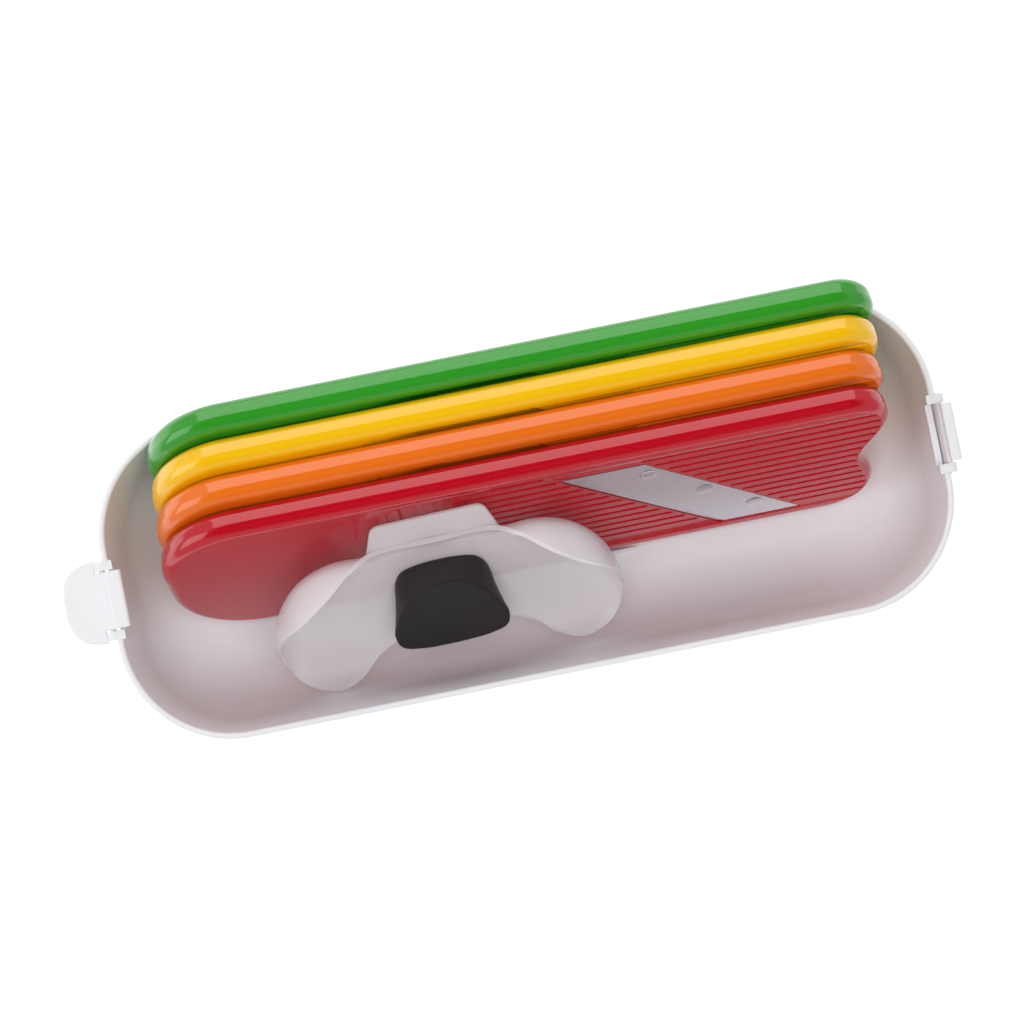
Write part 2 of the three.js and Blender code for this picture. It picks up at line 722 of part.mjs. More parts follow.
function makeGuardShell() {
  let shell = guardShell().add(guardTab());
  for (const [x, y] of PRONG_PLACES) {
    shell = shell.add(guardProng(x, y)).add(guardProng(-x, y));
  }
  return namedMesh("guard_shell", shell, plastic(COLOURS.frosted, 0.35));
}

// Half the knob's outline, from top centre to bottom centre: squared off where it
// stands on the plate, and a D at its front.
const KNOB_BASE = [
  [0, 17.5], [10, 16.8], [17, 14.5], [20.6, 9], [21.6, 0], [21, -9], [14, -14.5], [5, -15.5],
];
const KNOB_FRONT = [
  [0, 19], [9, 17.2], [16.9, 10.5], [22.8, 0], [25.5, -8.8], [23.6, -15.4], [14.8, -18.4], [5.3, -19.1],
];

// share is 0 for the outline at the plate and 1 for the outline at the front.
function knobRing(share, scale, z) {
  const half = KNOB_BASE.map(([x, y], i) => new THREE.Vector3(x, y, 0)
    .lerp(new THREE.Vector3(...KNOB_FRONT[i], 0), share));
  const left = half.slice(1).map(({ x, y }) => new THREE.Vector3(-x, y, 0)).reverse();
  const curve = new THREE.CatmullRomCurve3([...left, ...half].reverse(), true, "centripetal");
  return curve.getSpacedPoints(KNOB_POINTS).slice(0, KNOB_POINTS).map((point) => (
    new THREE.Vector3(point.x * scale, KNOB_CENTRE_V + point.y * scale, z)
  ));
}

function makeKnob() {
  const base = GUARD_SHEET / 2 + KNOB_GAP;
  const front = base + KNOB_HEIGHT;
  const solid = toSolid(loft([
    knobRing(0, 1, base),
    knobRing(0.15, 1, base + KNOB_HEIGHT * 0.3),
    knobRing(0.7, 1, base + KNOB_HEIGHT * 0.72),
    knobRing(1, 1, front - 2.2),
    knobRing(1, 0.985, front - 0.7),
    knobRing(1, 0.93, front),
  ]));
  return namedMesh("guard_knob", solid, plastic(COLOURS.black, 0.6));
}

function makeGuard() {
  const group = new THREE.Group();
  group.add(makeGuardShell());
  group.add(makeKnob());
  group.rotation.set(GUARD_TILT, 0, GUARD_YAW, "ZYX");
  group.position.set(GUARD_X, GUARD_Y, GUARD_Z);
  return group;
}

// ---------------------------------------------------------------- the set

// Slicers from the front of the stack to its rear, each with its own slice thickness.
const SLICERS = [["red", 1], ["orange", 1.5], ["yellow", 2], ["green", 2.5]];

const set = new THREE.Group();
set.add(makeTub());
set.add(makeLatch("latch_left", -1, LEFT_LATCH_OPEN));
set.add(makeLatch("latch_right", 1, 0));
SLICERS.forEach(([name, stepDepth], rank) => set.add(makeSlicer(name, rank, stepDepth)));
set.add(makeGuard());

export default set;
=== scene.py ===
"""Looks of the mandoline slicer set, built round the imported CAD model.

Pieces are made in millimetres, each in a flat frame of its own, and are then put
in the row frame in metres: the origin is the centre of the tub's base, +X runs
towards the slicers' notched ends, +Y to the rear wall and +Z up.
"""
import math

import bmesh
import bpy
from mathutils import Matrix, Vector


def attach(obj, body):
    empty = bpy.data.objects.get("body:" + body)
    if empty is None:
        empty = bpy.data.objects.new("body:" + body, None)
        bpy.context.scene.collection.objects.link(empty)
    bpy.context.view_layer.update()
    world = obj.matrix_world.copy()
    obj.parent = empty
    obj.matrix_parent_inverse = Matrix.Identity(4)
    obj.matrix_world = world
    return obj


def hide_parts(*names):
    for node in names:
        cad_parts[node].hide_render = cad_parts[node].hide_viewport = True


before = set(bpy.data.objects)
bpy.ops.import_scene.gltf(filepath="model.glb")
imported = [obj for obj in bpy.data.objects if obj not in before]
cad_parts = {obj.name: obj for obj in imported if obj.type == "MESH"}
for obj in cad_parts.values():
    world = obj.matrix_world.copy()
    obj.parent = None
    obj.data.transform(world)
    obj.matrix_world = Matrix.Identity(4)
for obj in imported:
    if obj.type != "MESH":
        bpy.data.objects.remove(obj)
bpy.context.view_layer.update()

MM = 0.001

# How far a cutting body stands out of the face that it cuts, and how far an
# added body is sunk into the wall that it grows from.
CUT_OVER = 5
ROOT = 0.5

# ---- tub ----
TUB_HALF_LENGTH = 185
TUB_HALF_WIDTH = 70.5
TUB_CORNER_RADIUS = 50
TUB_HEIGHT = 61
TUB_WALL = 2.8
TUB_DRAFT = math.radians(8)
TUB_FLOOR_FILLET = 36
NOTCH_HALF_WIDTH = 17.4
LUG_THICKNESS = 4
LUG_RADIUS = 2.6
LUG_HOLE_RADIUS = 1.55
LUG_BAR_HALF = LUG_RADIUS - 0.2
LUG_BAR_ROOT = 1.4
SEAT_CUT_INWARD = 16
SEAT_CUT_OUTWARD = 8
SEAT_CUT_BELOW = 5
RIB_HALF_LENGTH = 50
RIB_Y = -23.2
RIB_THICKNESS = 1.8
RIB_TOP = 8
RIB_TAPER = 12
BACK_REST_X = 88
BACK_REST_THICKNESS = 2.6
BACK_REST_BOTTOM = 12
BACK_REST_KNEE = 26
BACK_REST_TOP = 57
BACK_REST_FOOT_INSET = 9
BACK_REST_GAP = 0.6

# ---- latches ----
PIVOT_X = 186
PIVOT_Z = TUB_HEIGHT - 3.6
LATCH_STRAP_WIDTH = 25.2
LATCH_SHEET = 2.2
LATCH_ARM_HEIGHT = 8.4
LATCH_ARM_OFFSET = 3.1
LATCH_LIP_REACH = 4
LATCH_LIP_THICKNESS = 1.9
LATCH_SOFT_EDGE = 0.7
TAB_HALF_WIDTH = 18.25
TAB_START = 3
TAB_END = 19.2
TAB_LEAN = math.radians(4)
TAB_SQUARE_ACROSS = 0.72
TAB_SQUARE_DOWN = 0.8
TRUNNION_RADIUS = 1.25
TRUNNION_SHORT = 0.6

# ---- slicers ----
SLICER_LENGTH = 322.4
SLICER_WIDTH = 95
SLICER_THICKNESS = 13.4
SLICER_EDGE_RADIUS = 5.2
SLICER_LEAN = math.radians(24.9)
SLICER_PITCH = 15.2
SLICER_STAGGER = 1
SLICER_START = Vector((-160.2, -23.1, 7.4))
SLICER_SKIN = 0.05
HANDLE_RADIUS = 38
HORN_RADIUS = 20
HORN_SLANT = 6.8
NOTCH_DEPTH = 7
RAMP_START = 92
RAMP_END = 130
RAMP_LEAD = 3
DECK_LOW = 8.6
DECK_HIGH = SLICER_WIDTH - 8.5
DECK_SHOULDER = 3.2
DECK_END_MARGIN = 3
RUN_OUT_RECESS = 0.6
DECK_THICKNESS = 3
HOLLOW_START = 136
HOLLOW_END_MARGIN = 20
HOLLOW_SIDE_MARGIN = 10
GROOVE_PITCH = 5.71
GROOVE_WIDTH = 1.7
GROOVE_DEPTH = 0.6
GROOVE_SHOULDER = 0.3
GROOVE_ROOT = 0.3
GROOVE_RAMP = 1.2
GROOVE_STOP_BEFORE_SLOT = 1.5
GROOVE_STOP_AFTER_BLADE = 2
GROOVE_STOP_BEFORE_END = 0.6
GROOVE_FIRST = 15.5
GROOVE_COUNT = 13

# ---- blade and rivets ----
BLADE_LOW = 9.5
BLADE_HIGH = 81
BLADE_EDGE_LOW_U = 244.9
BLADE_EDGE_HIGH_U = 176
BLADE_ALONG = 37.7
BLADE_THICKNESS = 0.8
BLADE_CLEARANCE = 0.3
BLADE_EDGE_SETBACK = 0.4
BLADE_EDGE_BREAK = 0.12
BLADE_END_SEAT = 3.5
BLADE_GRIND = 3.2
SLOT_BEFORE_EDGE = 1.2
SLOT_UNDER_BLADE = 7
RIVET_HEIGHTS = (22.5, 45.6, 71.2)
RIVET_FROM_REAR = 7.8
RIVET_HEAD_RADIUS = 3.9
RIVET_HEAD_HEIGHT = 0.65
RIVET_SHANK_RADIUS = 1.5
RIVET_SHANK_LENGTH = 2.6
RIVET_DOME_FOOT = 0.14
RIVET_GAP = 0.06

# ---- finger guard ----
GUARD_PLACE = Vector((-40.5, -39.9, 36.5))
GUARD_TILT = math.radians(42.5)
GUARD_YAW = math.radians(1.4)
GUARD_SHEET = 2
GUARD_BEND_RADIUS = 12
GUARD_EDGE_SKIN = 0.06
GUARD_MIDDLE = Vector((0, 24))
TAB_BASE = 48
TAB_TOP = 66
TAB_BASE_HALF = 30.5
TAB_TOP_HALF = 24
TAB_CORNER = 5
TAB_CORNER_START = 0.25
PRONG_LENGTH = 7
PRONG_RADIUS = 1.4
PRONG_TIP_RADIUS = 0.3
PRONG_PLACES = ((18, 37), (26.5, 30.5), (34.5, 24), (24, 15), (12, 11))
SEAM_RADIUS = 92
SEAM_APEX = 49.5
SEAM_HALF_WIDTH = 46
SEAM_SIZE = 0.28
SEAM_RISE = 0.06
KNOB_HEIGHT = 16.5
KNOB_CENTRE_V = 24
KNOB_GAP = 0.3

# Half the guard plate's outline from top centre to bottom centre: across, up,
# and the height of the wall that stands on it there.
GUARD_OUTLINE = (
    (0, 54, 2.6), (26, 54, 3), (38, 55, 13), (50, 54.5, 27), (61, 49.5, 32), (70, 39.2, 27),
    (75.5, 24, 17), (76.5, 6.2, 5), (74, -9.6, 1.5), (67, -19.5, 1), (56, -23.7, 1), (45, -17.8, 1),
    (36, -7.4, 1), (26, -1.1, 1), (11, 0, 1),
)

# Half the knob's outline, from top centre to bottom centre: squared off where it
# stands on the plate, and a D at its front.
KNOB_BASE = (
    (0, 17.5), (10, 16.8), (17, 14.5), (20.6, 9), (21.6, 0), (21, -9), (14, -14.5), (5, -15.5),
)
KNOB_FRONT = (
    (0, 19), (9, 17.2), (16.9, 10.5), (22.8, 0), (25.5, -8.8), (23.6, -15.4), (14.8, -18.4),
    (5.3, -19.1),
)

# Slicers from the front of the stack to its rear, with each one's slice thickness.
SLICERS = (("red", 1), ("orange", 1.5), ("yellow", 2), ("green", 2.5))

# ---- camera ----
CAMERA_AZIMUTH = math.radians(0.1)
CAMERA_ELEVATION = math.radians(89.1)
CAMERA_ROLL = math.radians(-11.47)
CAMERA_TARGET = Vector((-0.0055, 0.0033, 0.061))
CAMERA_DISTANCE = 1.0
CAMERA_LENS = 80.9


# ---------------------------------------------------------------- mesh helpers

def make_object(name, points, faces):
    mesh = bpy.data.meshes.new(name)
    mesh.from_pydata([tuple(p) for p in points], [], faces)
    mesh.update()
    obj = bpy.data.objects.new(name, mesh)
    bpy.context.scene.collection.objects.link(obj)
    return obj


def loft(name, rings):
    """Closes a stack of rings with the same number of points into one body."""
    count = len(rings[0])
    faces = []
    for level in range(len(rings) - 1):
        for i in range(count):
            a = level * count + i
            b = level * count + (i + 1) % count
            faces.append((a, b, b + count, a + count))
    last = (len(rings) - 1) * count
    faces.append(tuple(range(count - 1, -1, -1)))
    faces.append(tuple(range(last, last + count)))
    return make_object(name, [p for ring in rings for p in ring], faces)


def prism(name, outline, low, high):
    """A flat outline in X and Y, pushed from z = low to z = high."""
    return loft(name, [[(x, y, z) for x, y in outline] for z in (low, high)])


def prism_along_y(name, outline, half):
    """A flat outline in X and Z, pushed along Y from -half to +half."""
    return loft(name, [[(x, y, z) for x, z in outline] for y in (half, -half)])


def box(name, x, y, z):
    outline = [(x[0], y[0]), (x[1], y[0]), (x[1], y[1]), (x[0], y[1])]
    return prism(name, outline, *z)


def arc(centre, radius, start, end, steps):
    angles = [start + (end - start) * i / steps for i in range(steps + 1)]
    return [(centre[0] + radius * math.cos(t), centre[1] + radius * math.sin(t)) for t in angles]


def rod_along_y(name, x, z, radius, y0, y1, steps=32):
    outline = arc((x, z), radius, 0, 2 * math.pi, steps)[:-1]
    return loft(name, [[(px, y, pz) for px, pz in outline] for y in (y1, y0)])


def lathe(name, profile, steps):
    """Turns (radius, height) points about Z; the first and last are on the axis."""
    points = [(0, 0, profile[0][1])]
    for radius, height in profile[1:-1]:
        points += [(x, y, height) for x, y in arc((0, 0), radius, 0, 2 * math.pi, steps)[:-1]]
    points.append((0, 0, profile[-1][1]))
    rings = len(profile) - 2
    top = len(points) - 1
    faces = []
    for i in range(steps):
        j = (i + 1) % steps
        faces.append((0, 1 + j, 1 + i))
        for level in range(rings - 1):
            a = 1 + level * steps
            faces.append((a + i, a + j, a + steps + j, a + steps + i))
        a = 1 + (rings - 1) * steps
        faces.append((a + i, a + j, top))
    return make_object(name, points, faces)


def offset(outline, distance):
    """Moves a closed outline, counter-clockwise, outwards by a distance."""
    moved = []
    for i, point in enumerate(outline):
        here = Vector(point)
        before = (here - Vector(outline[i - 1])).normalized()
        after = (Vector(outline[(i + 1) % len(outline)]) - here).normalized()
        normal = Vector((before.y + after.y, -before.x - after.x)).normalized()
        stretch = max(normal.dot(Vector((before.y, -before.x))), 0.5)
        moved.append(here + normal * distance / stretch)
    return moved


def rounded(outline, radius, steps=5):
    """Replaces each corner of a closed outline by a short smooth curve."""
    points = []
    for i, point in enumerate(outline):
        corner = Vector(point)
        before = Vector(outline[i - 1]) - corner
        after = Vector(outline[(i + 1) % len(outline)]) - corner
        reach = min(radius, before.length * 0.45, after.length * 0.45)
        start = corner + before.normalized() * reach
        end = corner + after.normalized() * reach
        for k in range(steps + 1):
            t = k / steps
            points.append(start * (1 - t) ** 2 + corner * 2 * t * (1 - t) + end * t ** 2)
    return points


def closed_curve(half_outline, count):
    """Evenly spaced points on a smooth closed curve through an outline and its mirror."""
    right = [Vector(p) for p in half_outline]
    left = [Vector((-p[0], *p[1:])) for p in half_outline[1:]]
    corners = (list(reversed(left)) + right)[::-1]
    dense = []
    total = len(corners)
    for i in range(total):
        p0, p1, p2, p3 = (corners[(i + k) % total] for k in (-1, 0, 1, 2))
        t01 = max((p1 - p0).length ** 0.5, 1e-6)
        t12 = max((p2 - p1).length ** 0.5, 1e-6)
        t23 = max((p3 - p2).length ** 0.5, 1e-6)
        m1 = (p2 - p1) + t12 * ((p1 - p0) / t01 - (p2 - p0) / (t01 + t12))
        m2 = (p2 - p1) + t12 * ((p3 - p2) / t23 - (p3 - p1) / (t12 + t23))
        for k in range(40):
            t = k / 40
            dense.append(
                p1 * (2 * t ** 3 - 3 * t ** 2 + 1) + m1 * (t ** 3 - 2 * t ** 2 + t)
                + p2 * (3 * t ** 2 - 2 * t ** 3) + m2 * (t ** 3 - t ** 2)
            )
    lengths = [0.0]
    for i, point in enumerate(dense):
        lengths.append(lengths[-1] + (dense[(i + 1) % len(dense)] - point).length)
    spaced = []
    k = 0
    for i in range(count):
        want = lengths[-1] * i / count
        while lengths[k + 1] < want:
            k += 1
        share = (want - lengths[k]) / (lengths[k + 1] - lengths[k])
        spaced.append(dense[k].lerp(dense[(k + 1) % len(dense)], share))
    return spaced


def apply_modifiers(obj):
    graph = bpy.context.evaluated_depsgraph_get()
    mesh = bpy.data.meshes.new_from_object(obj.evaluated_get(graph))
    old = obj.data
    obj.modifiers.clear()
    obj.data = mesh
    bpy.data.meshes.remove(old)


def combine(target, tool, operation, self_crossing=False):
    modifier = target.modifiers.new("combine", "BOOLEAN")
    modifier.operation = operation
    modifier.solver = "EXACT"
    modifier.use_self = self_crossing
    modifier.object = tool
    apply_modifiers(target)
    bpy.data.objects.remove(tool)


def cut(target, *tools):
    for tool in tools:
        combine(target, tool, "DIFFERENCE")


def add(target, *tools):
    for tool in tools:
        combine(target, tool, "UNION")


def gather(name, objects):
    """Several separate bodies in one mesh."""
    mesh = bpy.data.meshes.new(name)
    form = bmesh.new()
    for obj in objects:
        form.from_mesh(obj.data)
        bpy.data.objects.remove(obj)
    form.to_mesh(mesh)
    form.free()
    gathered = bpy.data.objects.new(name, mesh)
    bpy.context.scene.collection.objects.link(gathered)
    return gathered


def bevel(obj, width, angle=50, segments=3):
    modifier = obj.modifiers.new("bevel", "BEVEL")
    modifier.width = width
    modifier.segments = segments
    modifier.limit_method = "ANGLE"
    modifier.angle_limit = math.radians(angle)
    apply_modifiers(obj)


def shade(obj, angle=35):
    """Smooth shading, with creases kept and broad flat faces kept flat."""
    obj.data.shade_smooth()
    obj.data.set_sharp_from_angle(angle=math.radians(angle))
    modifier = obj.modifiers.new("weighted_normals", "WEIGHTED_NORMAL")
    modifier.keep_sharp = True
    modifier.weight = 60


def settle(obj, place, body, material, slot, *nodes):
    """Puts a finished piece in the row frame on its body, in place of its CAD nodes."""
    obj.data.transform(Matrix.Scale(MM, 4) @ place)
    obj.data.materials.clear()
    obj.data.materials.append(material)
    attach(obj, body)
    if nodes:
        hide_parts(*nodes)


# ---------------------------------------------------------------- materials

def linear(*srgb):
    """A colour given as 0 to 255 in sRGB, as linear light."""
    shares = [channel / 255 for channel in srgb]
    return tuple(c / 12.92 if c <= 0.04045 else ((c + 0.055) / 1.055) ** 2.4 for c in shares)


class Nodes:
    """A material's node tree, with short calls for the few nodes that are used."""

    def __init__(self, name):
        self.material = bpy.data.materials.new(name)
        self.material.use_nodes = True
        self.tree = self.material.node_tree
        self.shader = self.tree.nodes["Principled BSDF"]
        self.place = self.tree.nodes.new("ShaderNodeTexCoord").outputs["Object"]

    def link(self, source, target):
        self.tree.links.new(source, target)

    def set(self, **values):
        for name, value in values.items():
            self.shader.inputs[name.replace("_", " ")].default_value = value

    def mapped(self, rotation=(0, 0, 0), scale=(1, 1, 1)):
        node = self.tree.nodes.new("ShaderNodeMapping")
        node.inputs["Rotation"].default_value = rotation
        node.inputs["Scale"].default_value = scale
        self.link(self.place, node.inputs["Vector"])
        return node.outputs["Vector"]

    def noise(self, scale, detail=2.0, roughness=0.5, vector=None):
        node = self.tree.nodes.new("ShaderNodeTexNoise")
        node.inputs["Scale"].default_value = scale
        node.inputs["Detail"].default_value = detail
        node.inputs["Roughness"].default_value = roughness
        self.link(vector or self.place, node.inputs["Vector"])
        return node.outputs["Fac"]

    def spread(self, value, low, high, from_low=0.3, from_high=0.7):
        node = self.tree.nodes.new("ShaderNodeMapRange")
        node.inputs["From Min"].default_value = from_low
        node.inputs["From Max"].default_value = from_high
        node.inputs["To Min"].default_value = low
        node.inputs["To Max"].default_value = high
        self.link(value, node.inputs["Value"])
        return node.outputs["Result"]

    def colours(self, value, first, second):
        node = self.tree.nodes.new("ShaderNodeMix")
        node.data_type = "RGBA"
        node.inputs["A"].default_value = (*first, 1)
        node.inputs["B"].default_value = (*second, 1)
        self.link(value, node.inputs["Factor"])
        return node.outputs["Result"]

    def bump(self, height, distance, strength=1.0, normal=None):
        node = self.tree.nodes.new("ShaderNodeBump")
        node.inputs["Strength"].default_value = strength
        node.inputs["Distance"].default_value = distance
        self.link(height, node.inputs["Height"])
        if normal:
            self.link(normal, node.inputs["Normal"])
        return node.outputs["Normal"]

    def to_shader(self, **sources):
        for name, source in sources.items():
            self.link(source, self.shader.inputs[name.replace("_", " ")])


def shades(colour, change):
    """A colour a little darker and a little lighter."""
    return [c * (1 - change) for c in colour], [min(c * (1 + change), 1) for c in colour]


def moulded_plastic(name, colour, gloss):
    """Polished injection-moulded plastic: faint flow in its colour, fine waviness in its gloss."""
    nodes = Nodes(name)
    dark, light = shades(colour, 0.05)
    flow = nodes.noise(9, detail=3, vector=nodes.mapped(scale=(0.4, 1, 1)))
    grain = nodes.noise(1500, detail=2)
    waves = nodes.noise(55, detail=2)
    smears = nodes.noise(30, detail=5, roughness=0.65)
    nodes.to_shader(
        Base_Color=nodes.colours(nodes.spread(flow, 0, 1), dark, light),
        Roughness=nodes.spread(smears, gloss * 0.75, gloss * 1.3),
        Normal=nodes.bump(grain, 0.000012, normal=nodes.bump(waves, 0.00003)),
    )
    nodes.set(IOR=1.5, Coat_Weight=0.7, Coat_Roughness=0.05)
    return nodes.material


def white_plastic():
    """The tub's and latches' white: satin gloss with a barely uneven skin."""
    nodes = Nodes("white_plastic_look")
    dark, light = shades(linear(240, 240, 243), 0.015)
    flow = nodes.noise(7, detail=3)
    grain = nodes.noise(900, detail=3)
    waves = nodes.noise(30, detail=2)
    smears = nodes.noise(24, detail=5, roughness=0.6)
    nodes.to_shader(
        Base_Color=nodes.colours(nodes.spread(flow, 0, 1), dark, light),
        Roughness=nodes.spread(smears, 0.3, 0.4),
        Normal=nodes.bump(grain, 0.000015, normal=nodes.bump(waves, 0.00002)),
    )
    nodes.set(IOR=1.49)
    return nodes.material


def blade_steel():
    """Ground stainless steel: fine lines along the cutting edge, a few deeper ones."""
    nodes = Nodes("blade_steel_look")
    slant = math.atan2(BLADE_EDGE_LOW_U - BLADE_EDGE_HIGH_U, BLADE_HIGH - BLADE_LOW)
    flat = nodes.mapped(rotation=(SLICER_LEAN - math.pi / 2, 0, 0))
    along = nodes.tree.nodes.new("ShaderNodeMapping")
    along.inputs["Rotation"].default_value = (0, 0, -slant)
    along.inputs["Scale"].default_value = (1, 0.03, 1)
    nodes.link(flat, along.inputs["Vector"])
    lines = nodes.noise(2600, detail=4, roughness=0.7, vector=along.outputs["Vector"])
    broad = nodes.noise(18, detail=2)
    dark, light = linear(226, 230, 234), linear(240, 243, 246)
    nodes.to_shader(
        Base_Color=nodes.colours(nodes.spread(lines, 0, 1), dark, light),
        Roughness=nodes.spread(broad, 0.26, 0.34),
        Normal=nodes.bump(lines, 0.0000025),
    )
    nodes.set(Metallic=1.0)
    return nodes.material


def rivet_steel():
    """Polished steel with the small dents of riveting."""
    nodes = Nodes("rivet_steel_look")
    dents = nodes.noise(700, detail=3)
    dark, light = linear(226, 229, 232), linear(240, 242, 244)
    nodes.to_shader(
        Base_Color=nodes.colours(nodes.spread(dents, 0, 1), dark, light),
        Roughness=nodes.spread(dents, 0.14, 0.26),
        Normal=nodes.bump(dents, 0.00001),
    )
    nodes.set(Metallic=1.0)
    return nodes.material


def frosted_plastic():
    """Milky polypropylene: cloudy in its body, with a glossy skin."""
    nodes = Nodes("frosted_plastic_look")
    clouds = nodes.noise(26, detail=4)
    grain = nodes.noise(1100, detail=2)
    waves = nodes.noise(40, detail=2)
    dark, light = linear(238, 235, 240), linear(248, 246, 249)
    nodes.to_shader(
        Base_Color=nodes.colours(nodes.spread(clouds, 0, 1), dark, light),
        Roughness=nodes.spread(clouds, 0.12, 0.2),
        Normal=nodes.bump(grain, 0.000012, normal=nodes.bump(waves, 0.00005)),
    )
    nodes.set(IOR=1.5, Alpha=0.5)
    return nodes.material


def soft_touch():
    """Black soft-touch rubber: matte, with a fine even grain and a faint sheen."""
    nodes = Nodes("soft_touch_look")
    grain = nodes.noise(2200, detail=3, roughness=0.7)
    wear = nodes.noise(45, detail=4)
    nodes.to_shader(
        Base_Color=nodes.colours(nodes.spread(wear, 0, 1), linear(34, 30, 32), linear(44, 39, 41)),
        Roughness=nodes.spread(wear, 0.42, 0.54),
        Normal=nodes.bump(grain, 0.00002),
    )
    nodes.set(Specular_IOR_Level=0.3)
    return nodes.material


def floor_material():
    """A white sweep, lit a little from within so that only soft shadows stay on it."""
    nodes = Nodes("floor_look")
    clouds = nodes.noise(3, detail=2)
    nodes.to_shader(
        Base_Color=nodes.colours(nodes.spread(clouds, 0, 1), (0.93, 0.93, 0.93), (0.95, 0.95, 0.95)),
    )
    nodes.set(Roughness=0.9, Specular_IOR_Level=0.1)
    nodes.set(Emission_Color=(1, 1, 1, 1), Emission_Strength=0.28)
    return nodes.material


# ---------------------------------------------------------------- tub

def rounded_rectangle(inset, z):
    radius = TUB_CORNER_RADIUS - inset
    x = TUB_HALF_LENGTH - TUB_CORNER_RADIUS
    y = TUB_HALF_WIDTH - TUB_CORNER_RADIUS
    corners = ((x, y, 0), (-x, y, 1), (-x, -y, 2), (x, -y, 3))
    ring = []
    for cx, cy, turn in corners:
        quarter = math.pi / 2
        points = arc((cx, cy), radius, turn * quarter, (turn + 1) * quarter, 24)
        ring += [(px, py, z) for px, py in points]
    return ring


def tub_section(skin):
    """(inset, height) from the base to just under the rim, for either skin of the wall."""
    fillet = TUB_FLOOR_FILLET
    fold = (TUB_HEIGHT - fillet * (1 - math.sin(TUB_DRAFT))) * math.tan(TUB_DRAFT)
    centre = (fold + fillet * math.cos(TUB_DRAFT), fillet)
    curve = arc(centre, fillet - skin, -math.pi / 2, -math.pi + TUB_DRAFT, 20)
    rim_height = TUB_HEIGHT - TUB_WALL / 2
    rim_inset = (TUB_HEIGHT - rim_height) * math.tan(TUB_DRAFT) + skin / math.cos(TUB_DRAFT)
    return curve + [(rim_inset, rim_height)]


def tub_shell():
    outside = tub_section(0)
    inside = tub_section(TUB_WALL)
    middle = ((outside[-1][0] + inside[-1][0]) / 2, TUB_HEIGHT - TUB_WALL / 2)
    lip = arc(middle, TUB_WALL / 2, math.pi, 0, 8)[1:-1]
    section = outside + lip + inside[::-1]
    return loft("tub_shell", [rounded_rectangle(inset, z) for inset, z in section])


def add_latch_seat(tub, side):
    """Two lugs that carry a latch, and the cuts in the rim over and between them."""
    inner = NOTCH_HALF_WIDTH - LUG_THICKNESS
    x = sorted((side * (PIVOT_X + SEAT_CUT_OUTWARD), side * (PIVOT_X - SEAT_CUT_INWARD)))
    lug = (PIVOT_Z - LUG_BAR_HALF, PIVOT_Z + LUG_BAR_HALF)
    above = TUB_HEIGHT + CUT_OVER
    cut(tub, box("rim_cut", x, (-NOTCH_HALF_WIDTH, NOTCH_HALF_WIDTH), (lug[1], above)))
    bar = sorted((side * (TUB_HALF_LENGTH - TUB_WALL - LUG_BAR_ROOT), side * PIVOT_X))
    for y in ((-NOTCH_HALF_WIDTH, -inner), (inner, NOTCH_HALF_WIDTH)):
        bracket = box("lug", bar, y, lug)
        add(bracket, rod_along_y("boss", side * PIVOT_X, PIVOT_Z, LUG_RADIUS, *y))
        add(tub, bracket)
    reach = NOTCH_HALF_WIDTH + 2
    cut(
        tub,
        box("deep_cut", x, (-inner, inner), (PIVOT_Z - SEAT_CUT_BELOW, above)),
        rod_along_y("pin_hole", side * PIVOT_X, PIVOT_Z, LUG_HOLE_RADIUS, -reach, reach),
    )


def floor_rib():
    """A low rib on the floor that keeps the slicers' lower edges from sliding out."""
    floor = TUB_WALL - ROOT
    half = RIB_HALF_LENGTH
    outline = [
        (-half, floor), (half, floor), (half - RIB_TAPER, RIB_TOP), (RIB_TAPER - half, RIB_TOP),
    ]
    rib = prism_along_y("rib", outline, RIB_THICKNESS / 2)
    rib.data.transform(Matrix.Translation((0, RIB_Y, 0)))
    bevel(rib, ROOT)
    return rib


def stack_back_y(z):
    """Where the rearmost slicer's back face is at a height."""
    corner_y = SLICER_START.y + 3 * SLICER_PITCH + SLICER_THICKNESS * math.cos(SLICER_LEAN)
    corner_z = SLICER_START.z - SLICER_THICKNESS * math.sin(SLICER_LEAN)
    return corner_y + (z - corner_z) * math.tan(SLICER_LEAN)


def back_rest(x):
    """A fin between the rear wall and the stack, with its front edge at the stack's lean."""
    def wall_y(z):
        return TUB_HALF_WIDTH - TUB_WALL + 2 * ROOT - (TUB_HEIGHT - z) * math.tan(TUB_DRAFT)

    low, knee, high = BACK_REST_BOTTOM, BACK_REST_KNEE, BACK_REST_TOP
    outline = [
        (stack_back_y(low) + BACK_REST_GAP, low),
        (wall_y(low) - BACK_REST_FOOT_INSET, low),
        (wall_y(knee) - 2 * ROOT, knee),
        (wall_y(high), high),
        (stack_back_y(high) + BACK_REST_GAP, high),
    ]
    half = BACK_REST_THICKNESS / 2
    return loft("fin", [[(x + side, y, z) for y, z in outline] for side in (-half, half)])


def make_tub(material):
    tub = tub_shell()
    for side in (1, -1):
        add_latch_seat(tub, side)
    add(tub, floor_rib())
    for x in (-BACK_REST_X, BACK_REST_X):
        add(tub, back_rest(x))
    tub.name = "tub_shell"
    shade(tub, 40)
    settle(tub, Matrix(), "tub", material, "white_plastic", "tub")


# ---------------------------------------------------------------- latches

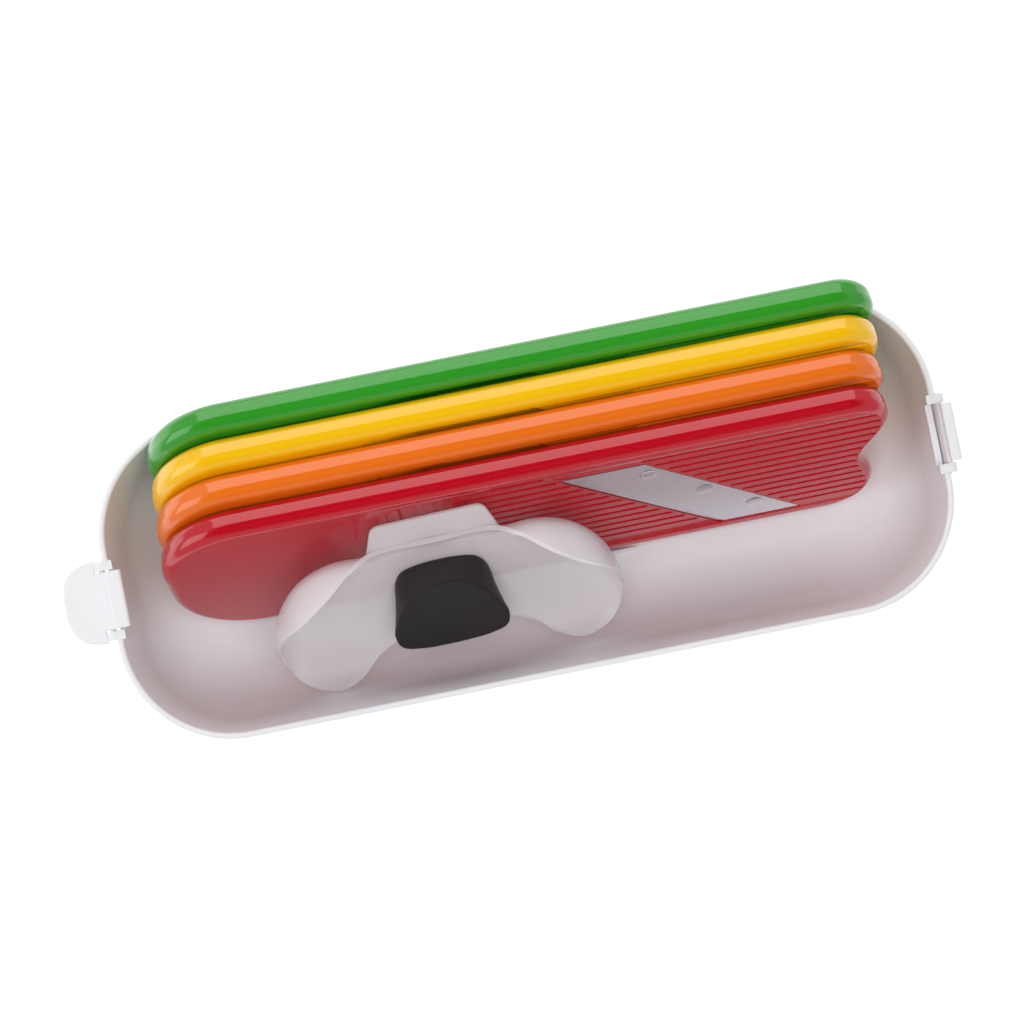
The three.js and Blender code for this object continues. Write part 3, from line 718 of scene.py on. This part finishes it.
def latch_strap():
    """The arm and hub: the arm stands up outward of the pivot, its lip turns in."""
    half = LATCH_SHEET / 2
    outer = LATCH_ARM_OFFSET + half
    inner = LATCH_ARM_OFFSET - half
    top = LATCH_ARM_HEIGHT
    lip_bottom = top - LATCH_LIP_THICKNESS
    outline = [
        (half, -TAB_START - 1), (half + 0.5, -1), (outer - 0.4, 1.6), (outer, 3.4),
        (outer, top - 0.8), (outer - 0.8, top), (outer - LATCH_LIP_REACH - 0.6, top),
        (outer - LATCH_LIP_REACH - 1, lip_bottom), (inner, lip_bottom), (inner, 3.6),
        (inner - 1, 2.2), (-half, 1.4), (-half - 0.5, -1), (-half, -TAB_START - 1),
    ]
    strap = prism_along_y("strap", rounded(outline, LATCH_SOFT_EDGE, 3), LATCH_STRAP_WIDTH / 2)
    bevel(strap, 0.4, angle=60)
    return strap


def latch_tab():
    """The thumb tab: a D below the hub, leaning in beside the tub's wall."""
    depth = TAB_END - TAB_START
    outline = []
    steps = 40
    for i in range(steps + 1):
        angle = math.pi * i / steps
        side = math.copysign(abs(math.cos(angle)) ** TAB_SQUARE_ACROSS, math.cos(angle))
        down = max(math.sin(angle), 0) ** TAB_SQUARE_DOWN
        outline.append((TAB_HALF_WIDTH * side, -TAB_START - depth * down))
    outline.reverse()
    rings = []
    half = LATCH_SHEET / 2
    quarter_steps = 4
    for k in range(-quarter_steps, quarter_steps + 1):
        angle = math.pi / 2 * k / quarter_steps
        level = half * math.sin(angle)
        shrink = LATCH_SOFT_EDGE * (1 - math.cos(angle))
        ring = offset(outline, -shrink)
        rings.append([(level + z * math.tan(TAB_LEAN), y, z) for y, z in ring])
    return loft("tab", rings)


def make_latch(name, side, open_angle, material):
    """side is 1 for the latch at the +X end; open_angle turns its arm out from the rim."""
    latch = latch_strap()
    reach = NOTCH_HALF_WIDTH - TRUNNION_SHORT
    add(latch, latch_tab(), rod_along_y("trunnions", 0, 0, TRUNNION_RADIUS, -reach, reach))
    latch.name = f"{name}_moulding"
    shade(latch, 40)
    place = (
        Matrix.Translation((side * PIVOT_X, 0, PIVOT_Z))
        @ Matrix.Rotation(0 if side > 0 else math.pi, 4, "Z")
        @ Matrix.Rotation(-open_angle, 4, "Y")
    )
    settle(latch, place, name, material, "white_plastic", name)


# ---------------------------------------------------------------- slicers

def notched_end_x(y, inset):
    """The notched end is a cosine dip between two horns."""
    half = SLICER_WIDTH / 2 - HORN_RADIUS
    share = min(abs(y - SLICER_WIDTH / 2) / half, 1)
    return SLICER_LENGTH - inset - NOTCH_DEPTH * 0.5 * (1 + math.cos(math.pi * share))


def slanted_end(point):
    """The lower horn stops short of the upper one."""
    x, y = point
    return x - HORN_SLANT * (1 - y / SLICER_WIDTH), y


def slicer_outline(inset):
    quarter = math.pi / 2
    right = SLICER_LENGTH - HORN_RADIUS
    top = SLICER_WIDTH
    dip = []
    steps = 32
    for i in range(1, steps):
        y = HORN_RADIUS + (top - 2 * HORN_RADIUS) * i / steps
        dip.append((notched_end_x(y, inset), y))
    horn, handle = HORN_RADIUS - inset, HANDLE_RADIUS - inset
    end = (
        arc((right, HORN_RADIUS), horn, -quarter, 0, 20)
        + dip
        + arc((right, top - HORN_RADIUS), horn, 0, quarter, 20)
    )
    return (
        [slanted_end(point) for point in end]
        + arc((HANDLE_RADIUS, top - HANDLE_RADIUS), handle, quarter, 2 * quarter, 30)
        + arc((HANDLE_RADIUS, HANDLE_RADIUS), handle, 2 * quarter, 3 * quarter, 30)
    )


def slicer_blank():
    """The whole body before its decks are cut: one outline with rounded edges."""
    radius = SLICER_EDGE_RADIUS
    steps = 10
    rings = []
    for i in range(steps + 1):
        angle = math.pi / 2 * i / steps
        inset = SLICER_SKIN + radius * (1 - math.sin(angle))
        rings.append((inset, -SLICER_THICKNESS + SLICER_SKIN + radius * (1 - math.cos(angle))))
    for inset, z in rings[::-1]:
        rings.append((inset, -SLICER_THICKNESS - z))
    return loft("blank", [[(x, y, z) for x, y in slicer_outline(inset)] for inset, z in rings])


def slant_x(y, along):
    """The X of a line parallel to the cutting edge, at height y."""
    share = (y - BLADE_LOW) / (BLADE_HIGH - BLADE_LOW)
    return BLADE_EDGE_LOW_U + (BLADE_EDGE_HIGH_U - BLADE_EDGE_LOW_U) * share + along


def slanted_band(start, end, low, high):
    """A strip parallel to the cutting edge, between two heights."""
    return [
        (slant_x(low, start), low), (slant_x(low, end), low),
        (slant_x(high, end), high), (slant_x(high, start), high),
    ]


def pocket(name, outline, depth, shoulder):
    """A cutter for a shallow pocket whose walls run softly down from the face."""
    steps = 8
    rings = [[(*p, -depth) for p in offset(outline, -shoulder / 2)]]
    for i in range(1, steps + 1):
        share = i / steps
        drop = depth * 0.5 * (1 + math.cos(math.pi * share))
        rings.append([(*p, -drop) for p in offset(outline, shoulder * (share - 0.5))])
    rings.append([(x, y, CUT_OVER) for x, y, _ in rings[-1]])
    return loft(name, rings)


def run_up_pocket(depth):
    """The deck before the blade, which runs down a ramp from the handle's face."""
    start = RAMP_START - RAMP_LEAD
    outline = [
        (start, DECK_LOW), (slant_x(DECK_LOW, 0), DECK_LOW),
        (slant_x(DECK_HIGH, 0), DECK_HIGH), (start, DECK_HIGH),
    ]
    deck = pocket("run_up", outline, depth, DECK_SHOULDER)
    steps = 10
    ramp = []
    for i in range(steps + 1):
        share = i / steps
        drop = depth * 0.5 * (1 - math.cos(math.pi * share))
        ramp.append((RAMP_START + (RAMP_END - RAMP_START) * share, -drop))
    above = ramp + [
        (SLICER_LENGTH, -depth - 0.01), (SLICER_LENGTH, 2 * CUT_OVER), (RAMP_START, 2 * CUT_OVER),
    ]
    combine(deck, prism_along_y("above_ramp", above, SLICER_WIDTH), "INTERSECT")
    return deck


def deck_end_x(y, margin):
    """Where the deck after the blade ends, inside the notched end's curve."""
    corner = HORN_RADIUS - margin
    into_horn = max(HORN_RADIUS - min(y, SLICER_WIDTH - y), 0)
    drop = corner - math.sqrt(max(corner ** 2 - into_horn ** 2, 0))
    return slanted_end((notched_end_x(y, margin) - drop, y))[0]


def run_out_outline():
    steps = 40
    end = []
    for i in range(steps + 1):
        y = DECK_LOW + (DECK_HIGH - DECK_LOW) * i / steps
        end.append((deck_end_x(y, DECK_END_MARGIN), y))
    return [(slant_x(DECK_LOW, 0), DECK_LOW)] + end + [(slant_x(DECK_HIGH, 0), DECK_HIGH)]


def groove(start, end, y, surface):
    """A cutter for one groove with soft shoulders and a ramp at each end."""
    half = GROOVE_WIDTH / 2
    wide = half + GROOVE_SHOULDER
    depth = GROOVE_DEPTH + GROOVE_ROOT
    over, shoulder_drop = 0.08, 0.16
    section = [
        (-wide, over), (-half, -shoulder_drop), (-half * 0.6, -depth),
        (half * 0.6, -depth), (half, -shoulder_drop), (wide, over),
    ]
    stations = [(start, 0), (start + GROOVE_RAMP, 1), (end - GROOVE_RAMP, 1), (end, 0)]
    return loft("groove", [
        [(x, y + dy, surface + (dz if dz > 0 else dz * share)) for dy, dz in section]
        for x, share in stations
    ])


def deck_grooves(step):
    """Grooves along both decks, stopped short of the slot, the blade and the notched end."""
    grooves = []
    for i in range(GROOVE_COUNT):
        y = GROOVE_FIRST + i * GROOVE_PITCH
        before_end = slant_x(y, -SLOT_BEFORE_EDGE - GROOVE_STOP_BEFORE_SLOT)
        grooves.append(groove(RAMP_END, before_end, y, -RUN_OUT_RECESS - step))
        after_start = slant_x(y, BLADE_ALONG + GROOVE_STOP_AFTER_BLADE)
        after_end = deck_end_x(y, DECK_END_MARGIN) - GROOVE_STOP_BEFORE_END
        grooves.append(groove(after_start, after_end, y, -RUN_OUT_RECESS))
    return gather("grooves", grooves)


def back_hollow(step):
    """A cutter for the hollow behind the decks, rounded where it meets their underside."""
    low, high = HOLLOW_SIDE_MARGIN, SLICER_WIDTH - HOLLOW_SIDE_MARGIN
    right = SLICER_LENGTH - HOLLOW_END_MARGIN
    outline = rounded(
        [(HOLLOW_START, low), (right, low), (right, high), (HOLLOW_START, high)], 6, 6,
    )
    deck_back = -(RUN_OUT_RECESS + step + GROOVE_DEPTH + DECK_THICKNESS)
    profile = [
        (0, -SLICER_THICKNESS - 1), (0, deck_back - 0.6), (-0.2, deck_back - 0.15), (-0.7, deck_back),
    ]
    return loft("hollow", [[(*p, z) for p in offset(outline, out)] for out, z in profile])


def rivet_places():
    return [(slant_x(y, BLADE_ALONG - RIVET_FROM_REAR), y) for y in RIVET_HEIGHTS]


def rivet_hole(place):
    radius = RIVET_SHANK_RADIUS + BLADE_CLEARANCE
    return prism("rivet_hole", arc(place, radius, 0, 2 * math.pi, 24)[:-1], -CUT_OVER, CUT_OVER)


def slicer_body(name, step):
    """step is how far the deck before the blade lies below the deck after it."""
    body = slicer_blank()
    room = 2 * BLADE_CLEARANCE
    seat_depth = RUN_OUT_RECESS + BLADE_THICKNESS + BLADE_CLEARANCE
    seat = slanted_band(-0.1, BLADE_ALONG + room, BLADE_LOW - room, BLADE_HIGH + room)
    slot = slanted_band(
        -SLOT_BEFORE_EDGE, SLOT_UNDER_BLADE, BLADE_LOW + BLADE_END_SEAT, BLADE_HIGH - BLADE_END_SEAT,
    )
    cut(
        body,
        run_up_pocket(RUN_OUT_RECESS + step),
        pocket("run_out", run_out_outline(), RUN_OUT_RECESS, DECK_SHOULDER),
        prism("seat", seat, -seat_depth, CUT_OVER),
        back_hollow(step),
        prism("slot", slot, -SLICER_THICKNESS - 1, CUT_OVER),
        deck_grooves(step),
        gather("rivet_holes", [rivet_hole(place) for place in rivet_places()]),
    )
    body.name = f"{name}_moulding"
    shade(body, 38)
    return body


def blade(name):
    """The blade: a flat strip with a ground bevel along its cutting edge."""
    top = -RUN_OUT_RECESS
    bottom = top - BLADE_THICKNESS
    start, end = BLADE_EDGE_SETBACK, BLADE_ALONG
    profile = [
        (start, bottom), (end, bottom), (end, top - BLADE_EDGE_BREAK), (end - BLADE_EDGE_BREAK, top),
        (start + BLADE_GRIND, top), (start, bottom + BLADE_EDGE_BREAK),
    ][::-1]
    sections = [
        [(slant_x(y, along), y, z) for along, z in profile] for y in (BLADE_LOW, BLADE_HIGH)
    ]
    strip = loft(f"{name}_ground_blade", sections)
    cut(strip, gather("rivet_holes", [rivet_hole(place) for place in rivet_places()]))
    shade(strip, 12)
    return strip


def rivet(name, place):
    """A domed head that stands on the blade, with its shank down through it."""
    head, height = RIVET_HEAD_RADIUS, RIVET_HEAD_HEIGHT
    foot, steps = RIVET_DOME_FOOT, 10
    dome = [
        (head * math.cos(t), foot + (height - foot) * math.sin(t))
        for t in (math.pi / 2 * k / steps for k in range(steps + 1))
    ]
    shank, length, edge = RIVET_SHANK_RADIUS, RIVET_SHANK_LENGTH, 0.2
    profile = [
        (0, -length), (shank - edge, -length), (shank, edge - length), (shank, 0),
        (head - edge / 2, 0), *dome,
    ]
    turned = lathe(name, profile, 40)
    turned.data.transform(Matrix.Translation((*place, -RUN_OUT_RECESS + RIVET_GAP)))
    shade(turned, 40)
    return turned


def make_slicer(name, rank, step, plastic, blade_look, rivet_look):
    """One slicer, stood on its long edge and leant back; rank counts from the front."""
    shift = Vector((rank * SLICER_STAGGER, rank * SLICER_PITCH, 0))
    place = (
        Matrix.Translation(SLICER_START + shift)
        @ Matrix.Rotation(math.pi / 2 - SLICER_LEAN, 4, "X")
    )
    ridden = f"{name}_slicer"
    settle(slicer_body(name, step), place, ridden, plastic, f"{name}_plastic", f"{name}_body")
    settle(blade(name), place, ridden, blade_look, "steel", f"{name}_blade")
    for i, spot in enumerate(rivet_places(), start=1):
        piece = rivet(f"{name}_rivet_head_{i}", spot)
        settle(piece, place, ridden, rivet_look, "steel", f"{name}_rivet_{i}")


# ---------------------------------------------------------------- finger guard

def guard_section(reach, height):
    """(reach, height, slope) of the sheet from near the plate's middle to its free edge."""
    bend = GUARD_BEND_RADIUS
    turn = math.acos(max(1 - height / bend, 0))
    start = reach - bend * math.sin(turn)
    points = [(start * share, 0, 0) for share in (0.2, 0.4, 0.6, 0.8)]
    steps = 10
    for i in range(steps + 1):
        angle = turn * i / steps
        points.append((start + bend * math.sin(angle), bend * (1 - math.cos(angle)), angle))
    crown = bend * (1 - math.cos(turn))
    edge = max(height, crown + 0.4) - GUARD_EDGE_SKIN
    points += [(reach, crown + (edge - crown) * share, turn) for share in (0.33, 0.66, 1)]
    return points


def guard_sheet():
    """The bent sheet: the section turned round the plate's outline, with a soft free edge."""
    spokes = []
    for point in closed_curve(GUARD_OUTLINE, 240):
        out = Vector((point.x, point.y)) - GUARD_MIDDLE
        spokes.append((out.normalized(), guard_section(out.length, point.z)))
    half = GUARD_SHEET / 2
    levels = range(len(spokes[0][1]))

    def ring(level, side, lift=0):
        points = []
        for direction, section in spokes:
            reach, height, slope = section[level]
            r = reach - side * half * math.sin(slope) + lift * math.cos(slope)
            z = height + side * half * math.cos(slope) + lift * math.sin(slope)
            flat = GUARD_MIDDLE + direction * r
            points.append((flat.x, flat.y, z))
        return points

    edge = [ring(levels[-1], side, lift) for side, lift in ((-0.75, 0), (0, 0.1), (0.75, 0))]
    rings = [ring(level, -1) for level in levels] + edge + [ring(level, 1) for level in reversed(levels)]
    return loft("guard_sheet", rings)


def guard_tab():
    """The flat tab that stands out of the sheet's upper edge."""
    corner = TAB_CORNER
    side = TAB_TOP_HALF - corner * 0.6
    outline = (
        [(TAB_BASE_HALF, TAB_BASE)]
        + arc((side, TAB_TOP - corner), corner, TAB_CORNER_START, math.pi / 2, 10)
        + arc((-side, TAB_TOP - corner), corner, math.pi / 2, math.pi - TAB_CORNER_START, 10)
        + [(-TAB_BASE_HALF, TAB_BASE)]
    )
    tab = prism("tab", outline, -GUARD_SHEET / 2, GUARD_SHEET / 2)
    bevel(tab, 0.5, angle=50)
    return tab


def guard_prong(x, y):
    """A blunt spike on the food's side of the plate, flared where it grows from it."""
    base = ROOT - GUARD_SHEET / 2
    tip = base - PRONG_LENGTH
    profile = [
        (0, tip), (PRONG_TIP_RADIUS, tip + 0.15), (PRONG_RADIUS - 0.1, base - 1.2),
        (PRONG_RADIUS + 0.4, base), (0, base),
    ]
    prong = lathe("prong", profile, 16)
    prong.data.transform(Matrix.Translation((x, y, 0)))
    return prong


def guard_seam():
    """A fine raised line across the plate above the knob."""
    centre = (0, SEAM_APEX - SEAM_RADIUS)
    spread = math.asin(SEAM_HALF_WIDTH / SEAM_RADIUS)
    path = arc(centre, SEAM_RADIUS, math.pi / 2 + spread, math.pi / 2 - spread, 60)
    sides = 8
    rings = []
    for i, (x, y) in enumerate(path):
        out = Vector((x - centre[0], y - centre[1])).normalized()
        size = SEAM_SIZE * min(1, 0.15 + i / 4, 0.15 + (len(path) - 1 - i) / 4)
        ring = []
        for k in range(sides):
            angle = 2 * math.pi * k / sides
            step = size * math.cos(angle)
            rise = GUARD_SHEET / 2 + SEAM_RISE + size * math.sin(angle)
            ring.append((x + out.x * step, y + out.y * step, rise))
        rings.append(ring)
    return loft("seam", rings)


def knob_ring(share, scale, z):
    """share is 0 for the outline at the plate and 1 for the outline at the front."""
    half = [Vector(base).lerp(Vector(front), share) for base, front in zip(KNOB_BASE, KNOB_FRONT)]
    return [(p.x * scale, KNOB_CENTRE_V + p.y * scale, z) for p in closed_curve(half, 96)]


def make_knob(place, material):
    base = GUARD_SHEET / 2 + KNOB_GAP
    front = base + KNOB_HEIGHT
    # (share of the front outline, scale, height) from the plate to the front face
    profile = [
        (0, 0.98, base), (0, 0.995, base + 0.5), (0.05, 1, base + KNOB_HEIGHT * 0.12),
        (0.15, 1, base + KNOB_HEIGHT * 0.3), (0.4, 1, base + KNOB_HEIGHT * 0.5),
        (0.7, 1, base + KNOB_HEIGHT * 0.7), (0.9, 1, base + KNOB_HEIGHT * 0.82),
        (1, 1, front - 2.2), (1, 0.995, front - 1.3), (1, 0.982, front - 0.6), (1, 0.955, front - 0.15),
        (1, 0.91, front - 0.02), (1, 0.6, front - 0.01), (1, 0.2, front - 0.01),
    ]
    knob = loft("guard_grip", [knob_ring(*level) for level in profile])
    shade(knob, 60)
    settle(knob, place, "guard", material, "black_soft_touch", "guard_knob")


def make_guard(plastic, rubber):
    turn = Matrix.Rotation(GUARD_YAW, 4, "Z") @ Matrix.Rotation(GUARD_TILT, 4, "X")
    place = Matrix.Translation(GUARD_PLACE) @ turn
    sheet = guard_sheet()
    prongs = [guard_prong(side * x, y) for x, y in PRONG_PLACES for side in (1, -1)]
    for tool in (guard_tab(), gather("prongs", prongs), guard_seam()):
        combine(sheet, tool, "UNION", self_crossing=True)
    sheet.name = "guard_moulding"
    shade(sheet, 45)
    settle(sheet, place, "guard", plastic, "frosted_plastic", "guard_shell")
    make_knob(place, rubber)


# ---------------------------------------------------------------- studio

def make_camera():
    camera = bpy.data.objects.new("camera", bpy.data.cameras.new("camera"))
    bpy.context.scene.collection.objects.link(camera)
    flat = math.cos(CAMERA_ELEVATION)
    back = Vector((
        math.sin(CAMERA_AZIMUTH) * flat, -math.cos(CAMERA_AZIMUTH) * flat, math.sin(CAMERA_ELEVATION),
    ))
    level = Vector((math.cos(CAMERA_AZIMUTH), math.sin(CAMERA_AZIMUTH), 0))
    upright = back.cross(level)
    right = level * math.cos(CAMERA_ROLL) + upright * math.sin(CAMERA_ROLL)
    up = upright * math.cos(CAMERA_ROLL) - level * math.sin(CAMERA_ROLL)
    turn = Matrix((right, up, back)).transposed().to_4x4()
    camera.matrix_world = Matrix.Translation(CAMERA_TARGET + back * CAMERA_DISTANCE) @ turn
    camera.data.lens = CAMERA_LENS
    camera.data.sensor_width = 36
    camera.data.clip_start = 0.01
    bpy.context.scene.camera = camera


def softbox(name, azimuth, elevation, distance, size, power, mirrored=True):
    """A soft rectangular light that faces the set; azimuth 0 is behind it, 90 to its left.

    A light that isn't mirrored brightens the set but doesn't show in glossy surfaces.
    """
    light = bpy.data.lights.new(name, "AREA")
    light.shape = "RECTANGLE"
    light.size, light.size_y = size
    light.energy = power
    obj = bpy.data.objects.new(name, light)
    bpy.context.scene.collection.objects.link(obj)
    a, e = math.radians(azimuth), math.radians(elevation)
    towards = Vector((-math.sin(a) * math.cos(e), math.cos(a) * math.cos(e), math.sin(e)))
    obj.location = Vector((0, 0, 0.05)) + towards * distance
    obj.rotation_euler = towards.to_track_quat("Z", "Y").to_euler()
    obj.visible_glossy = mirrored


def make_world():
    """A pale tent that is dark overhead, where the lens looks in."""
    world = bpy.data.worlds.new("tent")
    bpy.context.scene.world = world
    world.use_nodes = True
    tree = world.node_tree
    place = tree.nodes.new("ShaderNodeTexCoord")
    split = tree.nodes.new("ShaderNodeSeparateXYZ")
    ramp = tree.nodes.new("ShaderNodeValToRGB")
    tree.links.new(place.outputs["Generated"], split.inputs["Vector"])
    tree.links.new(split.outputs["Z"], ramp.inputs["Fac"])
    tree.links.new(ramp.outputs["Color"], tree.nodes["Background"].inputs["Color"])
    ramp.color_ramp.elements[0].position = 0.55
    ramp.color_ramp.elements[0].color = (1, 1, 1, 1)
    ramp.color_ramp.elements[1].position = 0.85
    ramp.color_ramp.elements[1].color = (0.1, 0.1, 0.1, 1)
    tree.nodes["Background"].inputs["Strength"].default_value = 0.5


def make_floor():
    half = 4000
    floor = prism("floor", [(-half, -half), (half, -half), (half, half), (-half, half)], -20, 0)
    floor.data.transform(Matrix.Scale(MM, 4))
    floor.data.materials.append(floor_material())


def make_set():
    white = white_plastic()
    make_tub(white)
    make_latch("latch_left", -1, math.pi / 2, white)
    make_latch("latch_right", 1, 0, white)
    plastics = {
        "red": moulded_plastic("red_plastic_look", linear(188, 4, 28), 0.08),
        "orange": moulded_plastic("orange_plastic_look", linear(238, 114, 20), 0.08),
        "yellow": moulded_plastic("yellow_plastic_look", linear(252, 194, 3), 0.08),
        "green": moulded_plastic("green_plastic_look", linear(46, 152, 34), 0.08),
    }
    blade_look = blade_steel()
    rivet_look = rivet_steel()
    for rank, (name, step) in enumerate(SLICERS):
        make_slicer(name, rank, step, plastics[name], blade_look, rivet_look)
    make_guard(frosted_plastic(), soft_touch())


bpy.context.scene.view_settings.view_transform = "Standard"
make_camera()
make_world()
softbox("back_light", 0, 27, 1.3, (1.7, 0.95), 6)
softbox("left_light", 85, 27, 1.3, (0.9, 0.8), 3)
softbox("fill_light", 180, 80, 1.5, (1.2, 1.2), 14.5, mirrored=False)
make_floor()
make_set()
